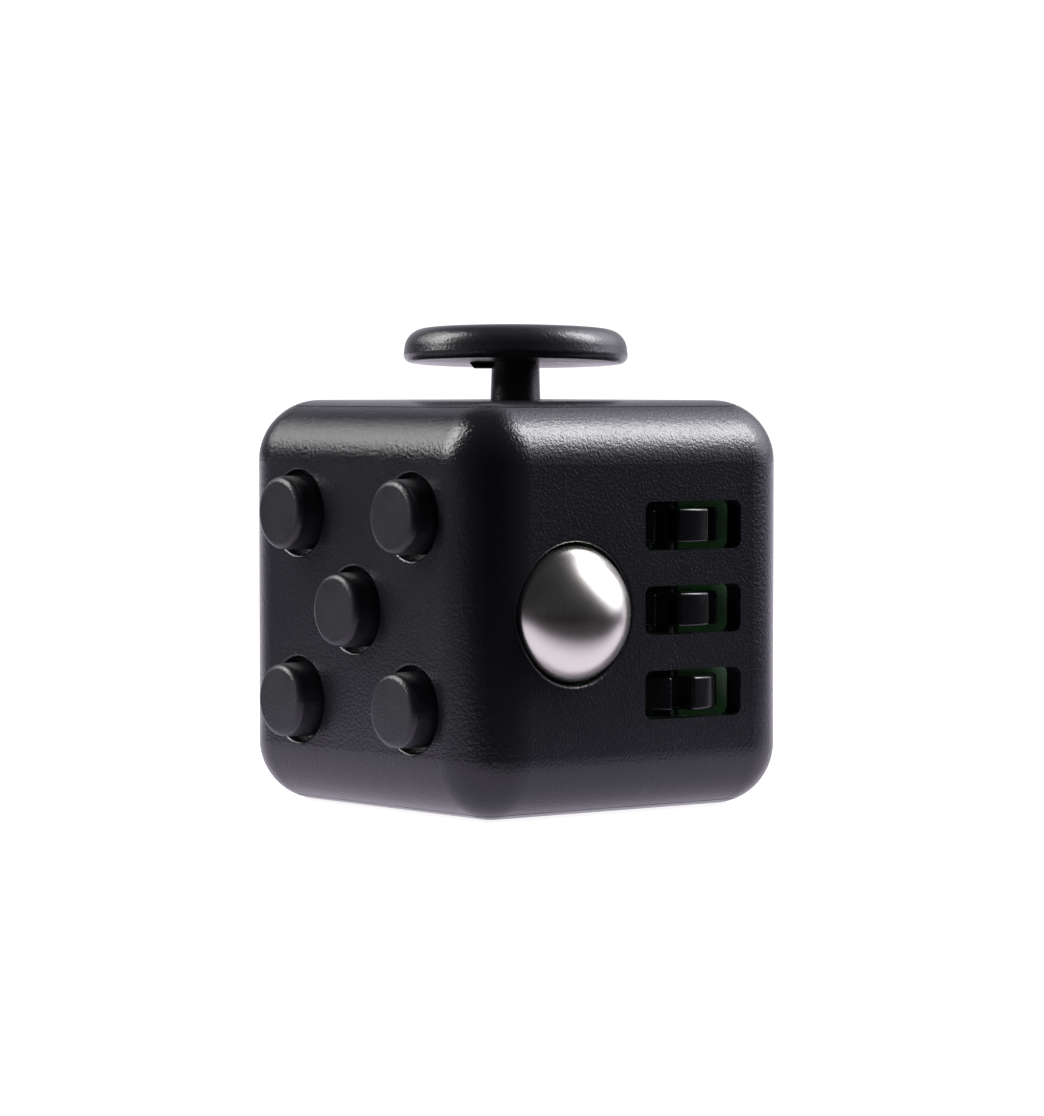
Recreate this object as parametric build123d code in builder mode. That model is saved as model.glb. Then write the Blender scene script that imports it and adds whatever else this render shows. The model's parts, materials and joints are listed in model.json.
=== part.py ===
from build123d import *
from math import asin, cos, radians, sin, sqrt, tan
import os

os.makedirs("parts", exist_ok=True)

# A pocket cube whose six faces each carry one small control. Millimetres, Z up. The cube stands on
# Z = 0 and is centred on X and Y. -X: five push buttons. -Y: a click ball and three gears.
# +Z: a joystick. +X: a dial. +Y: a rocker. -Z: a thumb dish, which is also the resting face.

# driving dimensions: shell and covers
cube_side = 33.0
edge_radius = 5.0
wall = 1.7
cover_thickness = 2.0
cover_inset = 2.8  # from each side of the cube to the edge of a cover's opening
cover_corner = 2.6
seam_gap = 0.11
cavity_corner = 3.0
block_side = 4.8  # solid corner blocks that the covers sit on
block_gap = 0.23  # between a corner block and the flange of the nearest button
peg_inset = 5.0  # from each side of the cube to a cover's locating pegs
peg_radius = 1.0
peg_length = 2.6
row_drop = 0.2  # the side controls sit this much below the middle of the cube
lip = 0.25  # rounding at the mouth of every opening
through = 1.0  # by which a cut runs past the material
lap = 0.1  # by which the shapes of one piece run into each other

# driving dimensions: fits and fasteners
slide_fit = 0.05
turn_fit = 0.04
thread_fit = 0.02
part_gap = 0.12  # between neighbouring pieces that are not meant to touch
screw_radius = 0.7
screw_fit = 0.12
screw_bite = 1.9  # thread length in a boss or a cover
cover_bite = 1.4  # of the screws that go up into the top cover
hole_room = 0.2  # beyond the tip of a screw
head_radius = 1.25
head_height = 0.7
head_edge = 0.2
cross_width = 0.35
cross_reach = 1.4  # in radii of the head
boss_radius = 1.75
tab_thickness = 1.2

# driving dimensions: five push buttons
face_margin = 0.46  # of flat face outside the holes of the outer buttons
button_radius = 3.02
button_proud = 2.0
button_edge = 0.55
button_draft = 2.0  # degrees
button_gap = 0.42  # around the cap, at the mouth of its hole
button_travel = 0.9
flange_overlap = 0.41  # of the flange behind the edge of the hole
button_flange = 0.7
plunger_radius = 1.1
plunger_length = 1.1
dome_radius = 2.3
dome_height = 0.55
dome_sheet = 0.2
pad_radius = 1.9
press_gap = 0.1
plate_margin = 0.4
side_tab_reach = 3.8  # from the rear buttons to the plate's side screw

# driving dimensions: gears
gear_tip_radius = 4.95
gear_root_radius = 3.4
gear_teeth = 6
gear_thickness = 2.68
gear_proud = 0.3
gear_edge = 0.2
gear_corner = 0.25
gear_pitch = 6.74
gear_offset = 5.18  # from the middle of the face to the gears' axis
tooth_tip_angle = 36.0
tooth_root_angle = 46.0
gear_phases = {"gear_lower": 16.0, "gear_middle": 0.5, "gear_upper": -0.5}
slot_side_gap = 0.075
slot_end_gap = 0.61  # above and below a gear
slot_corner = 0.7
axle_radius = 1.0
hub_radius = 1.8
gear_room = 0.3
cradle_side = 0.6
cradle_back = 0.9
cradle_end = 1.1
cradle_tab_depth = 3.4

# driving dimensions: click ball
ball_radius = 5.8
ball_depth = 2.4  # ball centre behind the face
ball_side_gap = 0.47  # between the ball and the gears' cradle
ball_travel = 0.9
socket_gap = 0.22
cup_inset = 0.7  # the cup's radius is this much less than the ball's
cup_rim = 0.37
cup_wall = 0.8
sleeve_wall = 0.75
sleeve_back = 1.2
click_dome_height = 0.75
click_dome_room = 0.95

# driving dimensions: joystick
disc_radius = 9.28
disc_thickness = 3.03
disc_crown = 0.4
disc_draft = 0.3
disc_shoulder = 1.7
disc_rim_edge = 0.6
disc_height = 3.05  # underside of the disc above the top face
stem_top_radius = 1.96
stem_radius = 2.05
rib_reach = 1.9  # of the small rib between the stem and the disc, from the stem's side
rib_drop = 0.45
rib_width = 0.6
pivot_drop = 2.2  # from the inside of the top cover down to the gimbal's centre
pivot_angle = 45.0  # the gimbal's hinges lie along the cube's diagonals
joystick_swing = 10.0  # either way about each hinge
joystick_lean = 2.75  # the sprung stick comes to rest this far off upright
well_radius = 3.6
foot_radius = 2.6
foot_depth = 2.2
foot_thickness = 0.6
ring_inner = 3.3
ring_outer = 4.85
ring_thickness = 2.0
stick_pin_radius = 0.5
trunnion_radius = 0.85
trunnion_root = 0.5  # from the inside of the ring
ear_thickness = 1.6
ear_width = 3.4
ear_drop = 3.6
base_flange = 1.0
base_radius = 8.4
arm_thickness = 1.0
arm_width = 2.4
ring_room = 0.45
seat_drop = 7.0  # from the cover down to the spring seat
seat_floor = 0.8
seat_radius = 3.0
spring_wire = 0.18
spring_radius = 1.9
spring_turns = 3.0

# driving dimensions: rocker
rocker_width = 8.8
rocker_length = 12.8
rocker_angle = 13.0
rocker_pivot_depth = 3.5
rocker_crest = 3.5
rocker_edge = 0.3
rocker_side_gap = 0.25
rocker_end_gap = 1.2
rocker_skirt = 1.0
rocker_tail = 3.0
tail_root = 1.3
tail_tip = 0.35
rocker_pin_radius = 0.75
cheek_thickness = 1.4
cheek_width = 5.6
cheek_gap = 0.3
rocker_tab_room = 0.9  # between the opening and the bosses
rocker_plate_depth = 7.3
leaf_sheet = 0.25
leaf_length = 10.0
leaf_width = 3.2
leaf_bump = 0.6
bump_angle = 50.0  # degrees

# driving dimensions: dial
dial_radius = 9.9
dial_gap = 0.25
dial_recess = 1.0
dial_lift = 0.1
dial_proud = 1.1
dial_edge = 0.45
dial_hub_radius = 2.6
dial_hub_reach = 0.9  # past the inside of the wall
nub_radius = 1.9
nub_height = 1.5
nub_offset = 6.6
nub_edge = 0.7
retainer_radius = 4.8
retainer_thickness = 0.9
washer_radius = 4.2
washer_sheet = 0.2

# driving dimensions: thumb dish
dish_radius = 8.6
dish_depth = 1.35
dish_skin = 1.2
dish_edge = 0.5

# places that follow from the driving dimensions
half_side = cube_side / 2
row_z = half_side - row_drop
top_inner = cube_side - cover_thickness
cavity = cube_side - 2 * wall
opening = cube_side - 2 * cover_inset
cover_side = opening - 2 * seam_gap
block_spacing = cavity - block_side
peg_spacing = cube_side - 2 * peg_inset
wall_back = wall + slide_fit

click_face = Plane(origin=(-half_side, 0, row_z), x_dir=(0, -1, 0), z_dir=(-1, 0, 0))
roll_face = Plane(origin=(0, -half_side, row_z), x_dir=(1, 0, 0), z_dir=(0, -1, 0))
spin_face = Plane(origin=(half_side, 0, row_z), x_dir=(0, 1, 0), z_dir=(1, 0, 0))
flip_face = Plane(origin=(0, half_side, row_z), x_dir=(-1, 0, 0), z_dir=(0, 1, 0))

flange_back = wall_back + button_flange
dome_top = flange_back + plunger_length + button_travel + press_gap
plate_depth = dome_top + dome_height
button_hole = button_radius + button_gap
button_flange_radius = button_hole + flange_overlap
button_pitch = half_side - edge_radius - button_hole - face_margin
block_side_gap = cavity / 2 - block_side - button_pitch
block_end_gap = sqrt((button_flange_radius + block_gap) ** 2 - block_side_gap**2)
block_length = row_z - button_pitch - cover_thickness - block_end_gap
button_places = {
    "button_centre": (0, 0),
    "button_upper_front": (button_pitch, button_pitch),
    "button_lower_front": (button_pitch, -button_pitch),
    "button_upper_rear": (-button_pitch, button_pitch),
    "button_lower_rear": (-button_pitch, -button_pitch),
}
silent_buttons = ("button_upper_rear", "button_lower_front")

slot_width = 2 * (gear_tip_radius + slot_side_gap)
slot_height = gear_thickness + 2 * slot_end_gap
gear_axis_depth = gear_tip_radius - gear_proud
gear_axis_y = gear_axis_depth - half_side
gear_heights = {"gear_lower": -gear_pitch, "gear_middle": 0, "gear_upper": gear_pitch}
pocket_radius = gear_tip_radius + gear_room
pocket_height = slot_height + 2 * lap
hub_half = pocket_height / 2 - slide_fit
cradle_half = gear_pitch + pocket_height / 2 + cradle_end
cradle_depth = gear_axis_depth + pocket_radius + cradle_back
tab_reach = cradle_half + boss_radius + part_gap
cradle_tabs = [(gear_offset, tab_reach), (gear_offset, -tab_reach)]
button_tabs = [(0, tab_reach), (0, -tab_reach), (-button_pitch - side_tab_reach, 0)]

ball_offset = pocket_radius + cradle_side - gear_offset + ball_side_gap + ball_radius
cup_radius = ball_radius - cup_inset
cup_reach = sqrt(ball_radius**2 - (cup_radius - cup_rim) ** 2) + slide_fit
cup_back = ball_depth + ball_radius + cup_wall
sleeve_front = ball_depth + ball_travel + sqrt(ball_radius**2 - cup_radius**2) + 2 * socket_gap
sleeve_inner = cup_radius + slide_fit
sleeve_outer = sleeve_inner + sleeve_wall
sleeve_floor = cup_back + ball_travel + click_dome_height + press_gap
ball_tab_reach = sleeve_outer + boss_radius + part_gap
ball_tabs = [(-ball_offset, ball_tab_reach), (-ball_offset, -ball_tab_reach)]

pivot_depth = cover_thickness + pivot_drop
pivot = Vector(0, 0, cube_side - pivot_depth)
stem_length = pivot_depth + disc_height  # from the pivot to the underside of the disc
pin_axis = Vector(cos(radians(pivot_angle)), -sin(radians(pivot_angle)), 0)
trunnion_axis = Vector(-pin_axis.Y, pin_axis.X, 0)
lean = radians(joystick_lean)
stick_axis = trunnion_axis * sin(lean) + Vector(0, 0, cos(lean))
stick_plane = Plane(origin=pivot, x_dir=pin_axis, z_dir=pin_axis.cross(stick_axis))
pin_plane = Plane(origin=pivot, x_dir=trunnion_axis, z_dir=pin_axis)
trunnion_plane = Plane(origin=pivot, x_dir=pin_axis, z_dir=trunnion_axis)
ring_plane = Plane(origin=pivot, x_dir=pin_axis, z_dir=(0, 0, 1))
cover_plane = Plane(origin=(0, 0, top_inner), x_dir=pin_axis, z_dir=(0, 0, 1))
arm_inner = ring_outer + ring_room
trunnion_reach = arm_inner + ear_thickness
base_screw_ring = base_radius - boss_radius
seat_z = top_inner - seat_drop
spring_rise = pivot.Z - foot_depth - foot_radius * sin(radians(joystick_swing)) * sqrt(2) - seat_z

rocker_y = half_side - rocker_pivot_depth
rocker_end = rocker_length / 2
rocker_rise = rocker_end * tan(radians(rocker_angle))
cheek_inner = rocker_width / 2 + cheek_gap
cheek_outer = cheek_inner + cheek_thickness
rocker_tab_reach = rocker_end + rocker_end_gap + lip + boss_radius + rocker_tab_room
rocker_tabs = [(0, rocker_tab_reach), (0, -rocker_tab_reach)]
rocker_cos = cos(radians(rocker_angle))
rocker_sin = sin(radians(rocker_angle))
rocker_pivot = (0, rocker_y, row_z)
rocker_plane = Plane(origin=rocker_pivot, x_dir=(0, -rocker_sin, rocker_cos), z_dir=(-1, 0, 0))
pin_side = Plane(origin=rocker_pivot, x_dir=(0, 0, 1), z_dir=(-1, 0, 0))

dial_back = dial_recess - dial_lift
hub_end = wall + dial_hub_reach


def rounded_cube():
    # the whole outer form, before it is divided into shell and covers
    with BuildPart() as block:
        with BuildSketch(Plane.XY):
            Rectangle(cube_side, cube_side)
        extrude(amount=cube_side)
        fillet(block.edges(), radius=edge_radius)
    return block.part


def save(piece, name):
    piece.part.label = name
    export_step(piece.part, "parts/" + name + ".step")


def along(plane):
    # the axis through a plane's origin along its normal
    return Axis(plane.origin, plane.z_dir)


def make_screws(name, back, places, grip):
    # pan-head screws whose heads bear on the plane called back and whose shanks run along its normal
    with BuildPart() as group:
        with BuildSketch(back):
            with Locations(*places):
                Circle(head_radius)
        extrude(amount=-head_height)
        fillet(group.edges().group_by(along(back))[0], radius=head_edge)
        with BuildSketch(back):
            with Locations(*places):
                Circle(screw_radius)
        extrude(amount=grip)
        with BuildSketch(back.offset(-head_height)):
            with Locations(*places):
                Rectangle(cross_reach * head_radius, cross_width)
                Rectangle(cross_width, cross_reach * head_radius)
        extrude(amount=head_height / 2, mode=Mode.SUBTRACT)
    save(group, name)


def screw_holes(plane, places, radius, depth):
    # cuts holes from a plane along its normal in the piece being built
    with BuildSketch(plane) as holes:
        with Locations(*places):
            Circle(radius)
    extrude(holes.sketch, amount=depth, mode=Mode.SUBTRACT)


def wall_bosses(face, places, tab_depth):
    # screw bosses that stand on the inside of a side wall and end where a bracket's tabs begin
    with BuildSketch(face.offset(-tab_depth)) as bosses:
        with Locations(*places):
            Circle(boss_radius)
    extrude(bosses.sketch, amount=tab_depth - wall / 2)
    screw_holes(face.offset(-tab_depth), places, screw_radius + thread_fit, screw_bite + hole_room)


# the four-sided shell, with corner blocks for the covers and bosses for the brackets
with BuildPart() as body_shell:
    add(rounded_cube())
    with BuildSketch(Plane.XY.offset(cover_thickness)):
        RectangleRounded(cavity, cavity, cavity_corner)
        with GridLocations(block_spacing, block_spacing, 2, 2):
            Rectangle(block_side, block_side, mode=Mode.SUBTRACT)
    extrude(amount=cube_side - 2 * cover_thickness, mode=Mode.SUBTRACT)
    with BuildSketch(Plane.XY.offset(cover_thickness + block_length)):
        RectangleRounded(cavity, cavity, cavity_corner)
    extrude(amount=cube_side - 2 * (cover_thickness + block_length), mode=Mode.SUBTRACT)
    for cover_floor in (0, top_inner):
        with BuildSketch(Plane.XY.offset(cover_floor)):
            RectangleRounded(opening, opening, cover_corner)
        extrude(amount=cover_thickness, mode=Mode.SUBTRACT)
    with BuildSketch(Plane.XY):
        with GridLocations(peg_spacing, peg_spacing, 2, 2):
            Circle(peg_radius + slide_fit)
    extrude(amount=cube_side, mode=Mode.SUBTRACT)
    # button holes, gear slots, ball socket, rocker opening and dial recess
    with BuildSketch(click_face):
        with Locations(*button_places.values()):
            Circle(button_hole)
    extrude(amount=-wall - through, mode=Mode.SUBTRACT)
    with BuildSketch(roll_face):
        for gear_z in gear_heights.values():
            with Locations((gear_offset, gear_z)):
                RectangleRounded(slot_width, slot_height, slot_corner)
    extrude(amount=-wall - through, mode=Mode.SUBTRACT)
    with Locations((-ball_offset, ball_depth - half_side, row_z)):
        Sphere(ball_radius + socket_gap, mode=Mode.SUBTRACT)
    with BuildSketch(flip_face):
        Rectangle(rocker_width + 2 * rocker_side_gap, rocker_length + 2 * rocker_end_gap)
    extrude(amount=-wall - through, mode=Mode.SUBTRACT)
    with BuildSketch(spin_face):
        Circle(dial_radius + dial_gap)
    extrude(amount=-dial_recess, mode=Mode.SUBTRACT)
    with BuildSketch(spin_face):
        Circle(dial_hub_radius + turn_fit)
    extrude(amount=-wall - through, mode=Mode.SUBTRACT)
    for side in (Axis.X, -Axis.X, Axis.Y, -Axis.Y):
        outer_face = body_shell.faces().sort_by(side)[-1]
        mouths = [edge for wire in outer_face.inner_wires() for edge in wire.edges()]
        fillet(mouths, radius=lip)
    # bosses come last, so that no opening cuts them
    wall_bosses(click_face, button_tabs, plate_depth)
    wall_bosses(roll_face, cradle_tabs, cradle_tab_depth)
    wall_bosses(roll_face, ball_tabs, sleeve_front)
    wall_bosses(flip_face, rocker_tabs, rocker_plate_depth)
save(body_shell, "body_shell")


# top cover: carries the joystick; four pegs locate it in the corner blocks
with BuildPart() as top_cover:
    add(rounded_cube())
    with BuildSketch(Plane.XY.offset(top_inner)):
        RectangleRounded(cover_side, cover_side, cover_corner - seam_gap)
    extrude(amount=cube_side, mode=Mode.INTERSECT)
    with BuildSketch(Plane.XY.offset(top_inner)):
        Circle(well_radius)
    extrude(amount=cover_thickness, mode=Mode.SUBTRACT)
    fillet(top_cover.faces().sort_by(Axis.Z)[-1].inner_wires()[0].edges(), radius=lip)
    with BuildSketch(Plane.XY.offset(top_inner)):
        with GridLocations(peg_spacing, peg_spacing, 2, 2):
            Circle(peg_radius)
    extrude(amount=-peg_length)
    with BuildSketch(Plane.XY.offset(top_inner)):
        with PolarLocations(base_screw_ring, 4):
            Circle(screw_radius + thread_fit)
    extrude(amount=cover_bite, mode=Mode.SUBTRACT)
save(top_cover, "top_cover")


# bottom cover: the thumb dish outside, a thickened pad behind it inside
dish_sphere = (dish_radius**2 + dish_depth**2) / (2 * dish_depth)
with BuildPart() as bottom_cover:
    add(rounded_cube())
    with BuildSketch(Plane.XY.offset(cover_thickness)):
        RectangleRounded(cover_side, cover_side, cover_corner - seam_gap)
    extrude(amount=-cube_side, mode=Mode.INTERSECT)
    with BuildSketch(Plane.XY.offset(cover_thickness)):
        Circle(dish_radius)
    extrude(amount=dish_depth + dish_skin - cover_thickness)
    with Locations((0, 0, dish_depth - dish_sphere)):
        Sphere(dish_sphere, mode=Mode.SUBTRACT)
    fillet(bottom_cover.faces().sort_by(Axis.Z)[0].inner_wires()[0].edges(), radius=dish_edge)
    with BuildSketch(Plane.XY.offset(cover_thickness)):
        with GridLocations(peg_spacing, peg_spacing, 2, 2):
            Circle(peg_radius)
    extrude(amount=peg_length)
save(bottom_cover, "bottom_cover")


def make_button(name, place):
    # cap, retaining flange behind the wall, and a plunger that meets the dome
    with BuildPart() as button:
        with BuildSketch(click_face.offset(-wall_back)):
            with Locations(place):
                Circle(button_radius)
        extrude(amount=wall_back)
        with BuildSketch(click_face):
            with Locations(place):
                Circle(button_radius)
        extrude(amount=button_proud, taper=button_draft)
        fillet(button.edges().group_by(along(click_face))[-1], radius=button_edge)
        with BuildSketch(click_face.offset(-wall_back)):
            with Locations(place):
                Circle(button_flange_radius)
        extrude(amount=-button_flange)
        with BuildSketch(click_face.offset(-flange_back)):
            with Locations(place):
                Circle(plunger_radius)
        extrude(amount=-plunger_length)
    save(button, name)


def make_dome(name, seat, place, radius, height):
    # a shallow sprung-metal cap that stands on the plane called seat
    sphere = (radius**2 + height**2) / (2 * height)
    with BuildPart(seat) as dome:
        with Locations((*place, height - sphere)):
            Sphere(sphere)
            Sphere(sphere - dome_sheet, mode=Mode.SUBTRACT)
        with BuildSketch(seat):
            with Locations(place):
                Circle(radius)
        extrude(amount=height + 1, mode=Mode.INTERSECT)
    save(dome, name)


def make_pad(name, place):
    # a soft silicone button that makes no click
    with BuildPart() as pad:
        with BuildSketch(click_face.offset(-plate_depth)):
            with Locations(place):
                Circle(pad_radius)
        extrude(amount=dome_height)
        fillet(pad.edges().group_by(along(click_face))[-1], radius=dome_height / 2)
    save(pad, name)


for button_name, button_place in button_places.items():
    make_button(button_name, button_place)
    if button_name in silent_buttons:
        make_pad(button_name.replace("button", "silent_pad"), button_place)
    else:
        dome_name = button_name.replace("button", "click_dome")
        make_dome(dome_name, click_face.offset(-plate_depth), button_place, dome_radius, dome_height)


# backing plate of the five buttons, notched where the ball's sleeve passes
plate_side = 2 * (button_pitch + dome_radius + plate_margin)
with BuildPart() as button_plate:
    with BuildSketch(click_face.offset(-plate_depth)):
        Rectangle(plate_side, plate_side)
        Rectangle(2 * boss_radius, 2 * tab_reach)
        with Locations((-(button_pitch + side_tab_reach) / 2, 0)):
            Rectangle(button_pitch + side_tab_reach, 2 * boss_radius)
        with Locations(*button_tabs):
            Circle(boss_radius)
    extrude(amount=-tab_thickness)
    with BuildSketch(roll_face):
        with Locations((-ball_offset, 0)):
            Circle(sleeve_outer + 2 * part_gap)
    extrude(amount=-(sleeve_floor + sleeve_back + part_gap), mode=Mode.SUBTRACT)
    screw_holes(click_face.offset(-plate_depth), button_tabs, screw_radius + screw_fit, -tab_thickness)
save(button_plate, "button_plate")
button_back = click_face.offset(-plate_depth - tab_thickness)
make_screws("button_plate_screws", button_back, button_tabs, tab_thickness + screw_bite)


def make_gear(name):
    # six broad teeth on a hub, turned to its own phase about the shared axle
    base = Plane(origin=(gear_offset, gear_axis_y, row_z + gear_heights[name] - gear_thickness / 2))
    gap_tip = radians(360 / gear_teeth - tooth_tip_angle) / 2
    gap_root = radians(360 / gear_teeth - tooth_root_angle) / 2
    beyond = gear_tip_radius + 2 * gear_room
    with BuildPart() as gear:
        with BuildSketch(base) as outline:
            Circle(gear_tip_radius)
            with PolarLocations(0, gear_teeth, start_angle=gear_phases[name] - 90 + 180 / gear_teeth):
                Polygon(
                    (gear_root_radius * cos(gap_root), -gear_root_radius * sin(gap_root)),
                    (beyond * cos(gap_tip), -beyond * sin(gap_tip)),
                    (beyond * cos(gap_tip), beyond * sin(gap_tip)),
                    (gear_root_radius * cos(gap_root), gear_root_radius * sin(gap_root)),
                    align=None,
                    mode=Mode.SUBTRACT,
                )
            fillet(outline.vertices().group_by(SortBy.DISTANCE)[-1], radius=gear_corner)
        extrude(amount=gear_thickness)
        flat_faces = gear.faces().filter_by(Axis.Z)
        fillet(flat_faces.edges(), radius=gear_edge)
        with BuildSketch(base.offset(gear_thickness / 2)):
            Circle(hub_radius)
        extrude(amount=hub_half, both=True)
        with BuildSketch(base.offset(-gear_pitch)):
            Circle(axle_radius + turn_fit)
        extrude(amount=2 * gear_pitch + gear_thickness, mode=Mode.SUBTRACT)
    save(gear, name)


for gear_name in gear_heights:
    make_gear(gear_name)


# steel axle of the gears, flush with the ends of the cradle
axle_base = Plane(origin=(gear_offset, gear_axis_y, row_z - cradle_half))
with BuildPart() as gear_axle:
    with BuildSketch(axle_base):
        Circle(axle_radius)
    extrude(amount=2 * cradle_half)
save(gear_axle, "gear_axle")


# cradle: a trough behind the slots with a rounded pocket for each gear
cradle_width = 2 * (pocket_radius + cradle_side)
cradle_front = cradle_depth - wall_back
pocket_front = gear_axis_depth - wall_back
with BuildPart() as gear_cradle:
    with BuildSketch(roll_face.offset(-wall_back)):
        with Locations((gear_offset, 0)):
            Rectangle(cradle_width, 2 * cradle_half)
    extrude(amount=-cradle_front)
    for gear_z in gear_heights.values():
        with BuildSketch(axle_base.offset(cradle_half + gear_z)):
            Circle(pocket_radius)
            with Locations((0, -(pocket_front + through) / 2)):
                Rectangle(2 * pocket_radius, pocket_front + through)
        extrude(amount=pocket_height / 2, both=True, mode=Mode.SUBTRACT)
    with BuildSketch(roll_face.offset(-cradle_tab_depth)):
        for tab_side in (1, -1):
            with Locations((gear_offset, tab_side * (cradle_half + tab_reach) / 2)):
                Rectangle(2 * boss_radius, tab_reach - cradle_half + lap)
        with Locations(*cradle_tabs):
            Circle(boss_radius)
    extrude(amount=-tab_thickness)
    with BuildSketch(axle_base):
        Circle(axle_radius + thread_fit)
    extrude(amount=2 * cradle_half, mode=Mode.SUBTRACT)
    screw_holes(roll_face.offset(-cradle_tab_depth), cradle_tabs, screw_radius + screw_fit, -tab_thickness)
save(gear_cradle, "gear_cradle")
cradle_tab_back = roll_face.offset(-cradle_tab_depth - tab_thickness)
make_screws("gear_cradle_screws", cradle_tab_back, cradle_tabs, tab_thickness + screw_bite)


# click ball, its sliding cup, the sleeve that guides the cup, and the click dome behind it
with BuildPart() as steel_ball:
    with Locations((-ball_offset, ball_depth - half_side, row_z)):
        Sphere(ball_radius)
save(steel_ball, "steel_ball")

with BuildPart() as ball_cup:
    with BuildSketch(roll_face.offset(-cup_back)):
        with Locations((-ball_offset, 0)):
            Circle(cup_radius)
    extrude(amount=cup_back - ball_depth - cup_reach)
    with Locations((-ball_offset, ball_depth - half_side, row_z)):
        Sphere(ball_radius + slide_fit, mode=Mode.SUBTRACT)
save(ball_cup, "ball_cup")

with BuildPart() as ball_sleeve:
    with BuildSketch(roll_face.offset(-sleeve_floor - sleeve_back)):
        with Locations((-ball_offset, 0)):
            Circle(sleeve_outer)
    extrude(amount=sleeve_floor + sleeve_back - sleeve_front)
    with BuildSketch(roll_face.offset(-sleeve_front)):
        with Locations((-ball_offset, 0)):
            Rectangle(2 * boss_radius, 2 * ball_tab_reach)
        with Locations(*ball_tabs):
            Circle(boss_radius)
    extrude(amount=-tab_thickness)
    with BuildSketch(roll_face.offset(-sleeve_floor)):
        with Locations((-ball_offset, 0)):
            Circle(sleeve_inner)
    extrude(amount=sleeve_floor, mode=Mode.SUBTRACT)
    screw_holes(roll_face.offset(-sleeve_front), ball_tabs, screw_radius + screw_fit, -tab_thickness)
save(ball_sleeve, "ball_sleeve")
ball_tab_back = roll_face.offset(-sleeve_front - tab_thickness)
make_screws("ball_sleeve_screws", ball_tab_back, ball_tabs, tab_thickness + screw_bite)
make_dome(
    "ball_click_dome",
    roll_face.offset(-sleeve_floor),
    (-ball_offset, 0),
    sleeve_inner - click_dome_room,
    click_dome_height,
)


# joystick: crowned disc, tapered stem, and a round foot below the gimbal
disc_top = stem_length + disc_thickness
disc_rim_radius = disc_radius - disc_draft
crown_sphere = (disc_rim_radius**2 + disc_crown**2) / (2 * disc_crown)
crown_turn = asin(disc_rim_radius / crown_sphere) / 2
crown_middle = (crown_sphere * sin(crown_turn), disc_top - crown_sphere * (1 - cos(crown_turn)))
with BuildPart() as joystick:
    with BuildSketch(stick_plane) as half_outline:
        with BuildLine():
            Polyline(
                (0, disc_top),
                (0, -foot_depth),
                (foot_radius, -foot_depth),
                (foot_radius, foot_thickness - foot_depth),
                (stem_radius, foot_thickness - foot_depth),
                (stem_radius, pivot_depth),
                (stem_top_radius, stem_length),
                (disc_radius, stem_length),
                (disc_rim_radius, disc_top - disc_crown),
            )
            ThreePointArc((disc_rim_radius, disc_top - disc_crown), crown_middle, (0, disc_top))
        make_face()
        rim_corner = half_outline.vertices().sort_by_distance((disc_radius, stem_length))[0]
        fillet(rim_corner, radius=disc_rim_edge)
        shoulder_at = (disc_rim_radius, disc_top - disc_crown)
        fillet(half_outline.vertices().sort_by_distance(shoulder_at)[0], radius=disc_shoulder)
    revolve(axis=Axis(pivot, stick_axis))
    with BuildSketch(pin_plane):
        Circle(stick_pin_radius + turn_fit)
    extrude(amount=foot_radius, both=True, mode=Mode.SUBTRACT)
    with BuildSketch(stick_plane):
        Polygon(
            (-stem_radius / 2, stem_length + lap),
            (-stem_radius / 2, stem_length - rib_drop),
            (-stem_top_radius - rib_reach + rib_drop, stem_length - rib_drop),
            (-stem_top_radius - rib_reach, stem_length + lap),
            align=None,
        )
    extrude(amount=rib_width / 2, both=True)
save(joystick, "joystick")


# gimbal ring: hinged to the base by two trunnions, and holding the stick's cross pin
with BuildPart() as gimbal_ring:
    with BuildSketch(ring_plane.offset(-ring_thickness / 2)):
        Circle(ring_outer)
        Circle(ring_inner, mode=Mode.SUBTRACT)
    extrude(amount=ring_thickness)
    for reach in (1, -1):
        with BuildSketch(trunnion_plane.offset(reach * (ring_inner + trunnion_root))):
            Circle(trunnion_radius)
        extrude(amount=reach * (trunnion_reach - ring_inner - trunnion_root))
    with BuildSketch(pin_plane):
        Circle(stick_pin_radius + thread_fit)
    extrude(amount=ring_outer + through, both=True, mode=Mode.SUBTRACT)
save(gimbal_ring, "gimbal_ring")

with BuildPart() as joystick_pin:
    with BuildSketch(pin_plane):
        Circle(stick_pin_radius)
    extrude(amount=ring_outer - lap, both=True)
save(joystick_pin, "joystick_pin")


# joystick base: a flange under the cover, two ears for the trunnions, two arms down to the spring seat
arm_centre = arm_inner + arm_thickness / 2
ear_centre = arm_inner + ear_thickness / 2
ear_bottom = top_inner - ear_drop
with BuildPart() as joystick_base:
    with BuildSketch(cover_plane):
        Circle(base_radius)
        Circle(arm_inner, mode=Mode.SUBTRACT)
    extrude(amount=-base_flange)
    with BuildSketch(cover_plane.offset(-base_flange / 2)):
        with Locations((0, ear_centre), (0, -ear_centre)):
            Rectangle(ear_width, ear_thickness)
    extrude(amount=base_flange / 2 - ear_drop)
    with BuildSketch(cover_plane.offset(-base_flange / 2)):
        with Locations((arm_centre, 0), (-arm_centre, 0)):
            Rectangle(arm_thickness, arm_width)
    extrude(amount=base_flange / 2 - seat_drop - seat_floor)
    with BuildSketch(cover_plane.offset(-seat_drop)):
        Rectangle(2 * (arm_inner + arm_thickness), arm_width)
        Circle(seat_radius)
    extrude(amount=-seat_floor)
    with BuildSketch(trunnion_plane):
        Circle(trunnion_radius + turn_fit)
    extrude(amount=base_radius, both=True, mode=Mode.SUBTRACT)
    with BuildSketch(Plane.XY.offset(top_inner)):
        with PolarLocations(base_screw_ring, 4):
            Circle(screw_radius + screw_fit)
    extrude(amount=-base_flange, mode=Mode.SUBTRACT)
save(joystick_base, "joystick_base")

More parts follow.
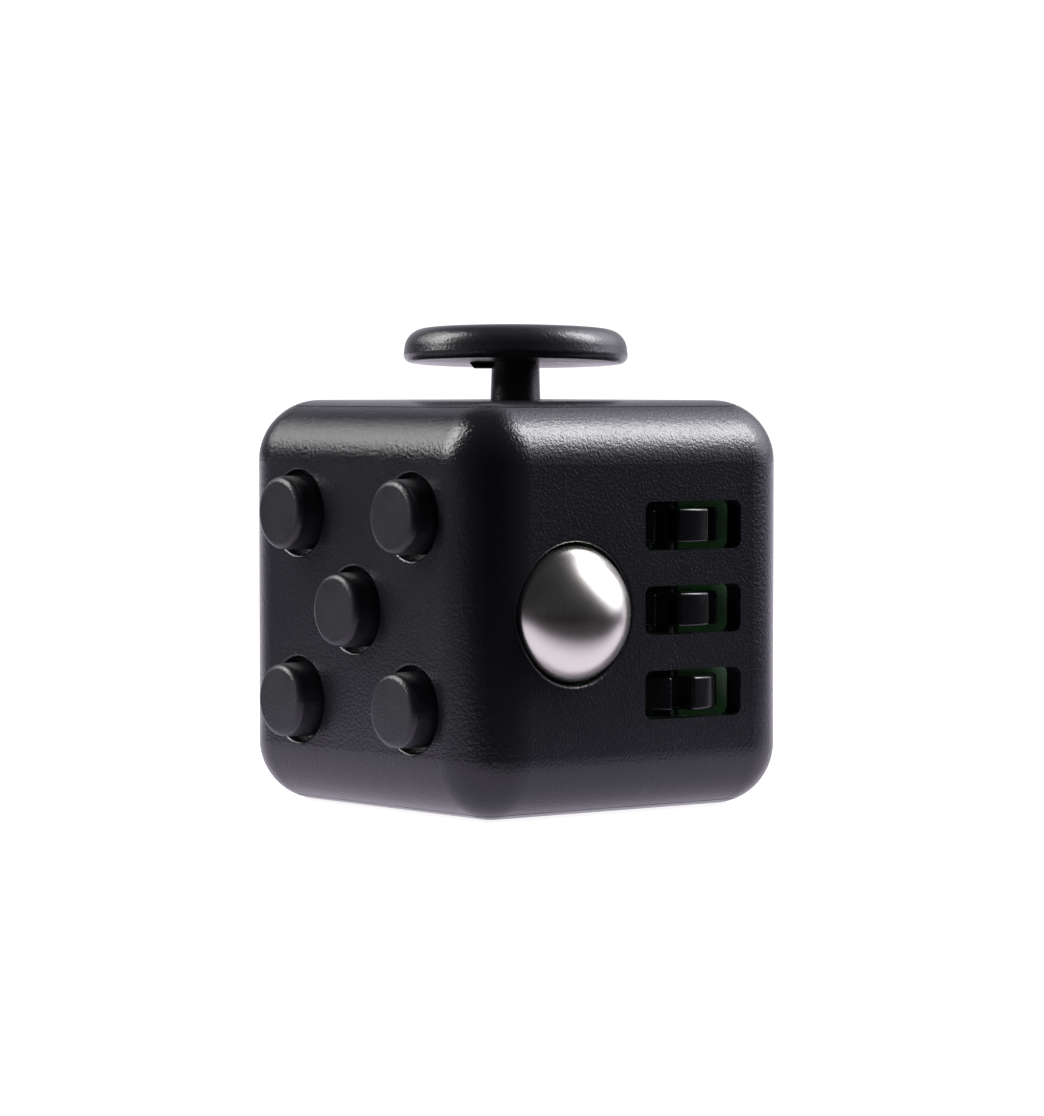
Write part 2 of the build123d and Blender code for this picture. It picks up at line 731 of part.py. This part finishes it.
base_screw_places = [
    (base_screw_ring, 0),
    (0, base_screw_ring),
    (-base_screw_ring, 0),
    (0, -base_screw_ring),
]
base_back = Plane.XY.offset(top_inner - base_flange)
make_screws("joystick_base_screws", base_back, base_screw_places, base_flange + cover_bite - hole_room)


# centring spring under the joystick's foot
spring_bottom = seat_z + spring_wire
spring_pitch = (spring_rise - 2 * spring_wire - part_gap) / spring_turns
with BuildPart() as joystick_spring:
    with BuildLine():
        coil = Helix(spring_pitch, spring_pitch * spring_turns, spring_radius, center=(0, 0, spring_bottom))
    with BuildSketch(Plane(origin=coil @ 0, z_dir=coil % 0)):
        Circle(spring_wire)
    sweep(path=coil, is_frenet=True)
save(joystick_spring, "joystick_spring")


# rocker: a shallow V on top, a detent tail below, turning on a steel pin
with BuildPart() as rocker:
    with BuildSketch(rocker_plane):
        with BuildLine():
            Polyline(
                (-rocker_end, rocker_crest + rocker_rise),
                (0, rocker_crest),
                (rocker_end, rocker_crest + rocker_rise),
                (rocker_end, -rocker_skirt),
                (tail_root, -rocker_skirt),
                (tail_tip, -rocker_tail),
                (-tail_tip, -rocker_tail),
                (-tail_root, -rocker_skirt),
                (-rocker_end, -rocker_skirt),
                close=True,
            )
        make_face()
    extrude(amount=rocker_width / 2, both=True)
    paddles = rocker.faces().sort_by(Axis.Y)[-2:]
    fillet(paddles.edges(), radius=rocker_edge)
    with BuildSketch(pin_side):
        Circle(rocker_pin_radius + turn_fit)
    extrude(amount=rocker_width, both=True, mode=Mode.SUBTRACT)
save(rocker, "rocker")

with BuildPart() as rocker_pin:
    with BuildSketch(pin_side):
        Circle(rocker_pin_radius)
    extrude(amount=cheek_outer, both=True)
save(rocker_pin, "rocker_pin")

with BuildPart() as rocker_frame:
    with BuildSketch(flip_face.offset(-rocker_plate_depth)):
        Rectangle(2 * cheek_outer, rocker_length)
        Rectangle(2 * boss_radius, 2 * rocker_tab_reach)
        with Locations(*rocker_tabs):
            Circle(boss_radius)
    extrude(amount=-tab_thickness)
    cheek_centre = cheek_inner + cheek_thickness / 2
    with BuildSketch(flip_face.offset(-rocker_plate_depth - tab_thickness / 2)):
        with Locations((cheek_centre, 0), (-cheek_centre, 0)):
            Rectangle(cheek_thickness, cheek_width)
    extrude(amount=rocker_plate_depth + tab_thickness / 2 - wall_back)
    with BuildSketch(pin_side):
        Circle(rocker_pin_radius + thread_fit)
    extrude(amount=cheek_outer, both=True, mode=Mode.SUBTRACT)
    screw_holes(flip_face.offset(-rocker_plate_depth), rocker_tabs, screw_radius + screw_fit, -tab_thickness)
save(rocker_frame, "rocker_frame")
rocker_back = flip_face.offset(-rocker_plate_depth - tab_thickness)
make_screws("rocker_frame_screws", rocker_back, rocker_tabs, tab_thickness + screw_bite)

# leaf spring on the frame; its bump makes the rocker snap from side to side
leaf_y = rocker_y - (half_side - rocker_plate_depth)
with BuildPart() as rocker_leaf:
    with BuildSketch(pin_side):
        with Locations((0, leaf_sheet / 2 - leaf_y)):
            Rectangle(leaf_length, leaf_sheet)
        with Locations((0, leaf_bump / 2 - leaf_y)):
            Trapezoid(4 * leaf_bump, leaf_bump, bump_angle)
        with Locations((0, (leaf_bump - leaf_sheet) / 2 - leaf_y)):
            Trapezoid(4 * leaf_bump - 3 * leaf_sheet, leaf_bump - leaf_sheet, bump_angle, mode=Mode.SUBTRACT)
    extrude(amount=leaf_width / 2, both=True)
save(rocker_leaf, "rocker_leaf")


# dial: a shallow disc with one finger nub, and a hub that passes through the wall
with BuildPart() as dial:
    with BuildSketch(spin_face.offset(-dial_back)):
        Circle(dial_radius)
    extrude(amount=dial_back + dial_proud)
    fillet(dial.edges().group_by(along(spin_face))[-1], radius=dial_edge)
    with BuildSketch(spin_face.offset(dial_proud)):
        with Locations((0, nub_offset)):
            Circle(nub_radius)
    extrude(amount=nub_height)
    fillet(dial.edges().group_by(along(spin_face))[-1], radius=nub_edge)
    with BuildSketch(spin_face.offset(-dial_back)):
        Circle(dial_hub_radius)
    extrude(amount=dial_back - hub_end)
    screw_holes(spin_face.offset(-hub_end), [(0, 0)], screw_radius + thread_fit, screw_bite + hole_room)
save(dial, "dial")

with BuildPart() as dial_retainer:
    with BuildSketch(spin_face.offset(-hub_end)):
        Circle(retainer_radius)
        Circle(screw_radius + screw_fit, mode=Mode.SUBTRACT)
    extrude(amount=-retainer_thickness)
save(dial_retainer, "dial_retainer")
dial_screw_back = spin_face.offset(-hub_end - retainer_thickness)
make_screws("dial_screw", dial_screw_back, [(0, 0)], retainer_thickness + screw_bite)

# coned spring washer that gives the dial its drag
washer_inner = dial_hub_radius + part_gap
washer_rise = dial_hub_reach - washer_sheet - slide_fit
washer_side = Plane(origin=spin_face.origin, x_dir=(0, 1, 0), z_dir=(0, 0, 1))
with BuildPart() as dial_washer:
    with BuildSketch(washer_side):
        with BuildLine():
            Polyline(
                (washer_inner, wall),
                (washer_radius, wall + washer_rise),
                (washer_radius, wall + washer_rise + washer_sheet),
                (washer_inner, wall + washer_sheet),
                close=True,
            )
        make_face()
    revolve(axis=along(spin_face))
save(dial_washer, "dial_washer")
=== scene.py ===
import bpy
import bmesh
import json
import math
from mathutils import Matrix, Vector

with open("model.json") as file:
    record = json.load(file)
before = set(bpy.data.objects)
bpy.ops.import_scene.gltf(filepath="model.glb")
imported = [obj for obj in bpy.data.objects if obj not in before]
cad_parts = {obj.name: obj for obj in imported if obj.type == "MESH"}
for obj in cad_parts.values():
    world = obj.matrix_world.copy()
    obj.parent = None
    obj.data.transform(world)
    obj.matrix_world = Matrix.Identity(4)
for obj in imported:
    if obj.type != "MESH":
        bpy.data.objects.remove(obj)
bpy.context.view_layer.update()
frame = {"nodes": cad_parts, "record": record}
record = frame["record"]
mm = 0.001
print("frame loaded")


def linear(hexColour):
    # sRGB hex to the linear colour that shaders want
    values = [int(hexColour[i:i + 2], 16) / 255 for i in (1, 3, 5)]
    return [v / 12.92 if v < 0.04045 else ((v + 0.055) / 1.055) ** 2.4 for v in values] + [1.0]


def addNode(tree, kind, settings=None, links=None):
    # one node: its settings by property or socket, its incoming links by socket
    node = tree.nodes.new("ShaderNode" + kind)
    for key, value in (settings or {}).items():
        if isinstance(key, str) and hasattr(node, key):
            setattr(node, key, value)
        else:
            node.inputs[key].default_value = value
    for key, source in (links or {}).items():
        tree.links.new(source, node.inputs[key])
    return node


def startMaterial(name):
    material = bpy.data.materials.new(name)
    material.use_nodes = True
    tree = material.node_tree
    tree.nodes.clear()
    coords = addNode(tree, "TexCoord")
    return material, tree, coords.outputs["Object"]


# what every finish shares: how its drift and grain break up, and how hairlines come in patches
ground = {
    "flowDetail": 3.0, "flowBreak": 0.55, "flowFrom": 0.3, "flowTo": 0.7, "grainDetail": 2.0,
    "grainBreak": 0.6, "lineDetail": 1.0, "swirl": 1.2, "spread": 1.7, "patchDetail": 2.0,
    "patchBreak": 0.55, "patchFrom": 0.56, "patchTo": 0.66,
}


def surface(name, look):
    # the ground of every finish: slow drift of colour and gloss, hairline scuffs, grain relief
    material, tree, place = startMaterial(name)
    flow = addNode(tree, "TexNoise", {"Scale": 1 / (look["flowMm"] * mm),
                                      "Detail": ground["flowDetail"],
                                      "Roughness": ground["flowBreak"]}, {"Vector": place})
    # the scuffs run along one level of a noise, about twice as wide as real ones so that they show
    winding = addNode(tree, "TexNoise", {"Scale": 1 / (look["scuffMm"] * mm),
                                         "Detail": ground["lineDetail"],
                                         "Distortion": ground["swirl"]}, {"Vector": place})
    offset = addNode(tree, "Math", {"operation": "SUBTRACT", 1: 0.5}, {0: winding.outputs[0]})
    away = addNode(tree, "Math", {"operation": "ABSOLUTE"}, {0: offset.outputs[0]})
    line = addNode(tree, "MapRange", {"From Max": look["scuffWidth"], "To Min": 1.0, "To Max": 0.0},
                   {"Value": away.outputs[0]})
    spread = addNode(tree, "TexNoise", {"Scale": 1 / (look["scuffMm"] * ground["spread"] * mm),
                                        "Detail": ground["patchDetail"],
                                        "Roughness": ground["patchBreak"]}, {"Vector": place})
    patch = addNode(tree, "MapRange",
                    {"From Min": ground["patchFrom"], "From Max": ground["patchTo"]},
                    {"Value": spread.outputs[0]})
    scuffs = addNode(tree, "Math", {"operation": "MULTIPLY"},
                     {0: line.outputs[0], 1: patch.outputs[0]})
    tone = addNode(tree, "MixRGB", {1: linear(look["dark"]), 2: linear(look["light"])},
                   {0: flow.outputs[0]})
    tint = addNode(tree, "MixRGB", {2: linear(look["scuffed"])},
                   {0: scuffs.outputs[0], 1: tone.outputs[0]})
    gloss = addNode(tree, "MapRange", {"From Min": ground["flowFrom"], "From Max": ground["flowTo"],
                                       "To Min": look["rough"] - look["drift"],
                                       "To Max": look["rough"] + look["drift"]},
                    {"Value": flow.outputs[0]})
    dulled = addNode(tree, "Math", {"operation": "MULTIPLY_ADD", 1: look["scuffDull"]},
                     {0: scuffs.outputs[0], 2: gloss.outputs[0]})
    grain = addNode(tree, "TexNoise", {"Scale": 1 / (look["grainMm"] * mm),
                                       "Detail": ground["grainDetail"],
                                       "Roughness": ground["grainBreak"]}, {"Vector": place})
    relief = addNode(tree, "Bump", {"Strength": look["bump"], "Distance": look["reliefMm"] * mm},
                     {"Height": grain.outputs[0]})
    shader = addNode(tree, "BsdfPrincipled", look["body"],
                     {"Base Color": tint.outputs[0], "Roughness": dulled.outputs[0],
                      "Normal": relief.outputs[0]})
    addNode(tree, "OutputMaterial", links={"Surface": shader.outputs[0]})
    return material


# ABS moulded in a spark-eroded tool: a fine even grain that stipples each reflection; the real
# grain is nearer 0.1 mm and is drawn coarser so that it shows
housingLook = {
    "grainMm": 0.25, "flowMm": 7.0, "dark": "#1b1b20", "light": "#1f1f24", "rough": 0.2,
    "drift": 0.02, "bump": 1.0, "reliefMm": 0.042, "scuffMm": 5.0, "scuffWidth": 0.004,
    "scuffDull": 0.07, "scuffed": "#2c2c31", "body": {"IOR": 1.46, "Metallic": 0.0},
}
housingAbs = surface("sparkErodedHousingAbs", housingLook)

# ABS moulded in a vapour-blasted tool: button caps, a touch greyer than the shell and softer in
# sheen
buttonLook = {
    "grainMm": 0.22, "flowMm": 3.0, "dark": "#1c1c20", "light": "#222227", "rough": 0.34,
    "drift": 0.04, "bump": 1.0, "reliefMm": 0.03, "scuffMm": 3.0, "scuffWidth": 0.004,
    "scuffDull": 0.1, "scuffed": "#2c2c30", "body": {"IOR": 1.48, "Metallic": 0.0},
}
buttonAbs = surface("vapourBlastedButtonAbs", buttonLook)

# ABS from a stoned tool, then rubbed by thumbs: the joystick's crown, semi-gloss with a weak grain
joystickLook = {
    "grainMm": 0.26, "flowMm": 5.0, "dark": "#26262b", "light": "#2c2c32", "rough": 0.28,
    "drift": 0.03, "bump": 1.0, "reliefMm": 0.03, "scuffMm": 6.5, "scuffWidth": 0.003,
    "scuffDull": 0.03, "scuffed": "#2c2c32", "body": {"IOR": 1.5, "Metallic": 0.0},
}
joystickAbs = surface("thumbRubbedJoystickAbs", joystickLook)

# ABS from a semi-polished tool: rocker and dial, glossy with soft drift
controlLook = {
    "grainMm": 0.3, "flowMm": 4.0, "dark": "#15151a", "light": "#1b1b20", "rough": 0.24,
    "drift": 0.03, "bump": 0.8, "reliefMm": 0.02, "scuffMm": 6.0, "scuffWidth": 0.004,
    "scuffDull": 0.05, "scuffed": "#26262a", "body": {"IOR": 1.5, "Metallic": 0.0},
}
controlAbs = surface("semiPolishedControlAbs", controlLook)

# unpolished ABS of the hidden brackets: matte, with coarse tool grain
bracketLook = {
    "grainMm": 0.35, "flowMm": 6.0, "dark": "#17171a", "light": "#202024", "rough": 0.5,
    "drift": 0.06, "bump": 1.0, "reliefMm": 0.05, "scuffMm": 4.0, "scuffWidth": 0.004,
    "scuffDull": 0.05, "scuffed": "#2c2c30", "body": {"IOR": 1.5, "Metallic": 0.0},
}
bracketAbs = surface("roughBracketAbs", bracketLook)

# black acetal of the gears: waxy and glossy, almost without grain, bright only along its edges
gearLook = {
    "grainMm": 0.3, "flowMm": 2.0, "dark": "#101012", "light": "#151517", "rough": 0.17,
    "drift": 0.03, "bump": 0.3, "reliefMm": 0.01, "scuffMm": 2.0, "scuffWidth": 0.006,
    "scuffDull": 0.15, "scuffed": "#26262a", "body": {"IOR": 1.48, "Metallic": 0.0},
}
gearAcetal = surface("blackGearAcetal", gearLook)

# green acetal of the cradle: milky and pale; a trace of emission paints a soft green glow
# that stands in for light spreading through it inside the slots
cradleLook = {
    "grainMm": 0.3, "flowMm": 2.0, "dark": "#c3eec6", "light": "#d2f7d4", "rough": 0.34,
    "drift": 0.04, "bump": 0.4, "reliefMm": 0.01, "scuffMm": 2.4, "scuffWidth": 0.005,
    "scuffDull": 0.1, "scuffed": "#d2f4d6",
    # the emission is painted glow: the cradle is no lamp
    "body": {"IOR": 1.48, "Metallic": 0.0, "Emission Color": linear("#7fc583"),
             "Emission Strength": 0.009},
}
greenAcetalPaintedGlow = surface("milkyGreenAcetalPaintedGlow", cradleLook)

# undyed acetal of the sliding cup: milk white and slippery looking
slideLook = {
    "grainMm": 0.3, "flowMm": 3.0, "dark": "#dcdad0", "light": "#e8e6de", "rough": 0.32,
    "drift": 0.04, "bump": 0.4, "reliefMm": 0.01, "scuffMm": 2.4, "scuffWidth": 0.005,
    "scuffDull": 0.1, "scuffed": "#c8c6bc", "body": {"IOR": 1.48, "Metallic": 0.0},
}
naturalAcetal = surface("undyedSlideAcetal", slideLook)

# bearing steel tumbled to a satin: bright metal whose reflections have soft edges, with hairline
# wear
ballLook = {
    "grainMm": 0.1, "flowMm": 2.5, "dark": "#dedad2", "light": "#e8e5de", "rough": 0.26,
    "drift": 0.02, "bump": 0.5, "reliefMm": 0.001, "scuffMm": 4.5, "scuffWidth": 0.003,
    "scuffDull": 0.03, "scuffed": "#d0ccc4", "body": {"Metallic": 1.0},
}
ballSteel = surface("tumbledBearingSteel", ballLook)

# spring and dome steel, cold rolled or drawn: greyer than the ball, with short scuffs
springLook = {
    "grainMm": 0.08, "flowMm": 1.5, "dark": "#8f9094", "light": "#a9aaad", "rough": 0.3,
    "drift": 0.06, "bump": 0.8, "reliefMm": 0.002, "scuffMm": 1.4, "scuffWidth": 0.006,
    "scuffDull": 0.15, "scuffed": "#7d7e82", "body": {"Metallic": 1.0},
}
springSteel = surface("coldDrawnSpringSteel", springLook)

# centreless-ground pin steel: the smoothest metal here
pinLook = {
    "grainMm": 0.06, "flowMm": 2.0, "dark": "#b4b5b8", "light": "#c4c5c7", "rough": 0.16,
    "drift": 0.03, "bump": 0.6, "reliefMm": 0.001, "scuffMm": 1.6, "scuffWidth": 0.005,
    "scuffDull": 0.15, "scuffed": "#9c9da0", "body": {"Metallic": 1.0},
}
pinSteel = surface("groundPinSteel", pinLook)

# zinc-plated screws: a cool white metal with a mottled passivated skin
screwLook = {
    "grainMm": 0.12, "flowMm": 0.7, "dark": "#a4adba", "light": "#c9cdd2", "rough": 0.33,
    "drift": 0.08, "bump": 0.8, "reliefMm": 0.003, "scuffMm": 1.2, "scuffWidth": 0.006,
    "scuffDull": 0.1, "scuffed": "#8d949e", "body": {"Metallic": 1.0},
}
screwZinc = surface("zincPlatedScrewSteel", screwLook)

# silicone rubber of the silent pads: matte and slightly velvety at grazing angles
padLook = {
    "grainMm": 0.25, "flowMm": 2.0, "dark": "#3a3a3e", "light": "#46464a", "rough": 0.62,
    "drift": 0.05, "bump": 1.0, "reliefMm": 0.03, "scuffMm": 2.0, "scuffWidth": 0.004,
    "scuffDull": 0.03, "scuffed": "#505054",
    "body": {"IOR": 1.41, "Metallic": 0.0, "Sheen Weight": 0.2},
}
padSilicone = surface("mouldedPadSilicone", padLook)

bySlot = {"housing_abs": housingAbs, "joystick_abs": joystickAbs, "button_abs": buttonAbs,
          "control_abs": controlAbs, "bracket_abs": bracketAbs, "gear_pom": gearAcetal,
          "cradle_pom": greenAcetalPaintedGlow, "slide_pom": naturalAcetal, "ball_steel": ballSteel,
          "spring_steel": springSteel, "pin_steel": pinSteel, "screw_steel": screwZinc,
          "silicone": padSilicone}
for part in record["subparts"]:
    cadPart = frame["nodes"][part["node"]]
    cadPart.data.materials.clear()
    cadPart.data.materials.append(bySlot[part["material_slot"]])
print("materials on")


# The stage is white paper in a light tent: bright under and behind the cube, dark towards the
# front, which keeps flat black plastic black and draws light along its rounded edges. The paper is
# plain to look at; what it throws back onto the cube changes with the place on it.
def toward(azimuth, elevation):
    # unit direction: azimuth from +X towards +Y, elevation from the floor, both in degrees
    a, e = math.radians(azimuth), math.radians(elevation)
    return Vector((math.cos(a) * math.cos(e), math.sin(a) * math.cos(e), math.sin(e)))


stage = {
    "radius": 6.0, "drop": 0.00002, "middle": 0.0165, "edges": 96, "paper": "#a8a8aa",
    "glow": 0.92, "tint": "#f6eeff",
    "nearBounce": 1.06, "nearEdge": 0.05, "farEdge": 0.12, "backTurn": 51.6, "backFrom": 0.3,
    "backTo": 0.85, "sideBounce": 0.25, "backBounce": 1.4, "frontTurn": 84, "frontFrom": -0.043,
    "frontTo": -0.022, "frontShare": 0.04,
}
floorMesh = bpy.data.meshes.new("floor")
floorForm = bmesh.new()
bmesh.ops.create_circle(floorForm, cap_ends=True, segments=stage["edges"], radius=stage["radius"])
bmesh.ops.translate(floorForm, vec=(0, 0, -stage["drop"]), verts=floorForm.verts)
floorForm.to_mesh(floorMesh)
floorForm.free()
floor = bpy.data.objects.new("floor", floorMesh)
bpy.context.scene.collection.objects.link(floor)
floorPaper, tree, place = startMaterial("matteWhitePaper")
paper = addNode(tree, "BsdfDiffuse", {"Color": linear(stage["paper"])})
lit = addNode(tree, "Emission", {"Strength": stage["glow"]})
sweep = addNode(tree, "AddShader", links={0: paper.outputs[0], 1: lit.outputs[0]})
depth = addNode(tree, "VectorMath",
                {"operation": "DOT_PRODUCT", 1: toward(stage["frontTurn"], 0)}, {0: place})
front = addNode(tree, "MapRange",
                {"interpolation_type": "SMOOTHSTEP", "From Min": stage["frontFrom"],
                 "From Max": stage["frontTo"], "To Min": stage["frontShare"]},
                {"Value": depth.outputs["Value"]})
span = addNode(tree, "VectorMath", {"operation": "LENGTH"}, {0: place})
heading = addNode(tree, "VectorMath", {"operation": "NORMALIZE"}, {0: place})
behind = addNode(tree, "VectorMath", {"operation": "DOT_PRODUCT", 1: toward(stage["backTurn"], 0)},
                 {0: heading.outputs[0]})
far = addNode(tree, "MapRange", {"interpolation_type": "SMOOTHSTEP", "From Min": stage["backFrom"],
                                 "From Max": stage["backTo"], "To Min": stage["sideBounce"],
                                 "To Max": stage["backBounce"]}, {"Value": behind.outputs["Value"]})
around = addNode(tree, "MapRange",
                 {"interpolation_type": "SMOOTHSTEP", "From Min": stage["nearEdge"],
                  "From Max": stage["farEdge"], "To Min": stage["nearBounce"]},
                 {"Value": span.outputs["Value"], "To Max": far.outputs[0]})
share = addNode(tree, "Math", {"operation": "MULTIPLY"},
                {0: front.outputs[0], 1: around.outputs[0]})
bounce = addNode(tree, "Emission", {"Color": linear(stage["tint"])},
                 {"Strength": share.outputs[0]})
seen = addNode(tree, "LightPath")
upper = addNode(tree, "MixShader", links={0: seen.outputs["Is Camera Ray"], 1: bounce.outputs[0],
                                          2: sweep.outputs[0]})
# the paper is there only from above, so that the underside of the cube can be looked at
under = addNode(tree, "BsdfTransparent")
side = addNode(tree, "NewGeometry")
oneSided = addNode(tree, "MixShader", links={0: side.outputs["Backfacing"], 1: upper.outputs[0],
                                             2: under.outputs[0]})
addNode(tree, "OutputMaterial", links={"Surface": oneSided.outputs[0]})
floorMesh.materials.append(floorPaper)
print("paper laid")

# here azimuth 0 looks along +Y, and a minus sign looks from the -X side
view = {
    "azimuth": -38.432, "elevation": 2.333, "place": (-0.230218, -0.291040, 0.035129),
    "lens": 145.65, "sensor": 36, "clipStart": 0.01,
}
turn, rise = math.radians(view["azimuth"]), math.radians(view["elevation"])
backward = Vector((math.sin(turn) * math.cos(rise), -math.cos(turn) * math.cos(rise),
                   math.sin(rise)))
cameraData = bpy.data.cameras.new("camera")
cameraData.lens = view["lens"]
cameraData.sensor_width = view["sensor"]
cameraData.clip_start = view["clipStart"]
camera = bpy.data.objects.new("camera", cameraData)
bpy.context.scene.collection.objects.link(camera)
camera.location = view["place"]
camera.rotation_euler = backward.to_track_quat("Z", "Y").to_euler()
bpy.context.scene.camera = camera
print("camera set")

# softboxes: radiance in the units that white paper shows as 1
lamps = {
    "keyRight": {"azimuth": -33, "elevation": 42, "distance": 0.6,
                 "size": (0.19, 0.33), "radiance": 15},
    "backLeft": {"azimuth": 118, "elevation": 33, "distance": 0.7,
                 "size": (0.30, 0.38), "radiance": 3.8},
    "backEdge": {"azimuth": 140, "elevation": 34, "distance": 0.7,
                 "size": (0.2, 0.48), "radiance": 12.5},
}
middle = Vector((0, 0, stage["middle"]))
for lampName, lamp in lamps.items():
    lampData = bpy.data.lights.new(lampName, "AREA")
    lampData.shape = "RECTANGLE"
    lampData.size, lampData.size_y = lamp["size"]
    lampData.energy = lamp["radiance"] * math.pi * lamp["size"][0] * lamp["size"][1]
    lampObject = bpy.data.objects.new(lampName, lampData)
    bpy.context.scene.collection.objects.link(lampObject)
    away = toward(lamp["azimuth"], lamp["elevation"])
    lampObject.location = middle + away * lamp["distance"]
    lampObject.rotation_euler = away.to_track_quat("Z", "Y").to_euler()

world = bpy.data.worlds.new("studio")
world.use_nodes = True
bpy.context.scene.world = world
tree = world.node_tree
tree.nodes.clear()
studio = {"dark": 0.03, "tint": "#f4f2ff", "backdrop": 1.1}
tents = {
    "backTent": {"azimuth": 26, "elevation": 2, "from": 0.22, "to": 0.8,
                 "radiance": 0.66},
    "sideTent": {"azimuth": -20, "elevation": 36, "from": 0.76, "to": 0.98,
                 "radiance": 2.8},
}
direction = addNode(tree, "TexCoord")
total = addNode(tree, "Value")
total.outputs[0].default_value = studio["dark"]
for tent in tents.values():
    aim = toward(tent["azimuth"], tent["elevation"])
    facing = addNode(tree, "VectorMath", {"operation": "DOT_PRODUCT", 1: aim},
                     {0: direction.outputs["Generated"]})
    cloth = addNode(tree, "MapRange", {"interpolation_type": "SMOOTHSTEP", "From Min": tent["from"],
                                       "From Max": tent["to"], "To Max": tent["radiance"]},
                    {"Value": facing.outputs["Value"]})
    total = addNode(tree, "Math", {"operation": "ADD"}, {0: total.outputs[0], 1: cloth.outputs[0]})
dim = addNode(tree, "Background", {"Color": linear(studio["tint"])},
              {"Strength": total.outputs[0]})
white = addNode(tree, "Background",
                {"Color": linear("#ffffff"), "Strength": studio["backdrop"]})
path = addNode(tree, "LightPath")
both = addNode(tree, "MixShader", links={0: path.outputs["Is Camera Ray"], 1: dim.outputs[0],
                                         2: white.outputs[0]})
addNode(tree, "OutputWorld", links={"Surface": both.outputs[0]})
bpy.context.scene.view_settings.view_transform = "Standard"
print("light set")
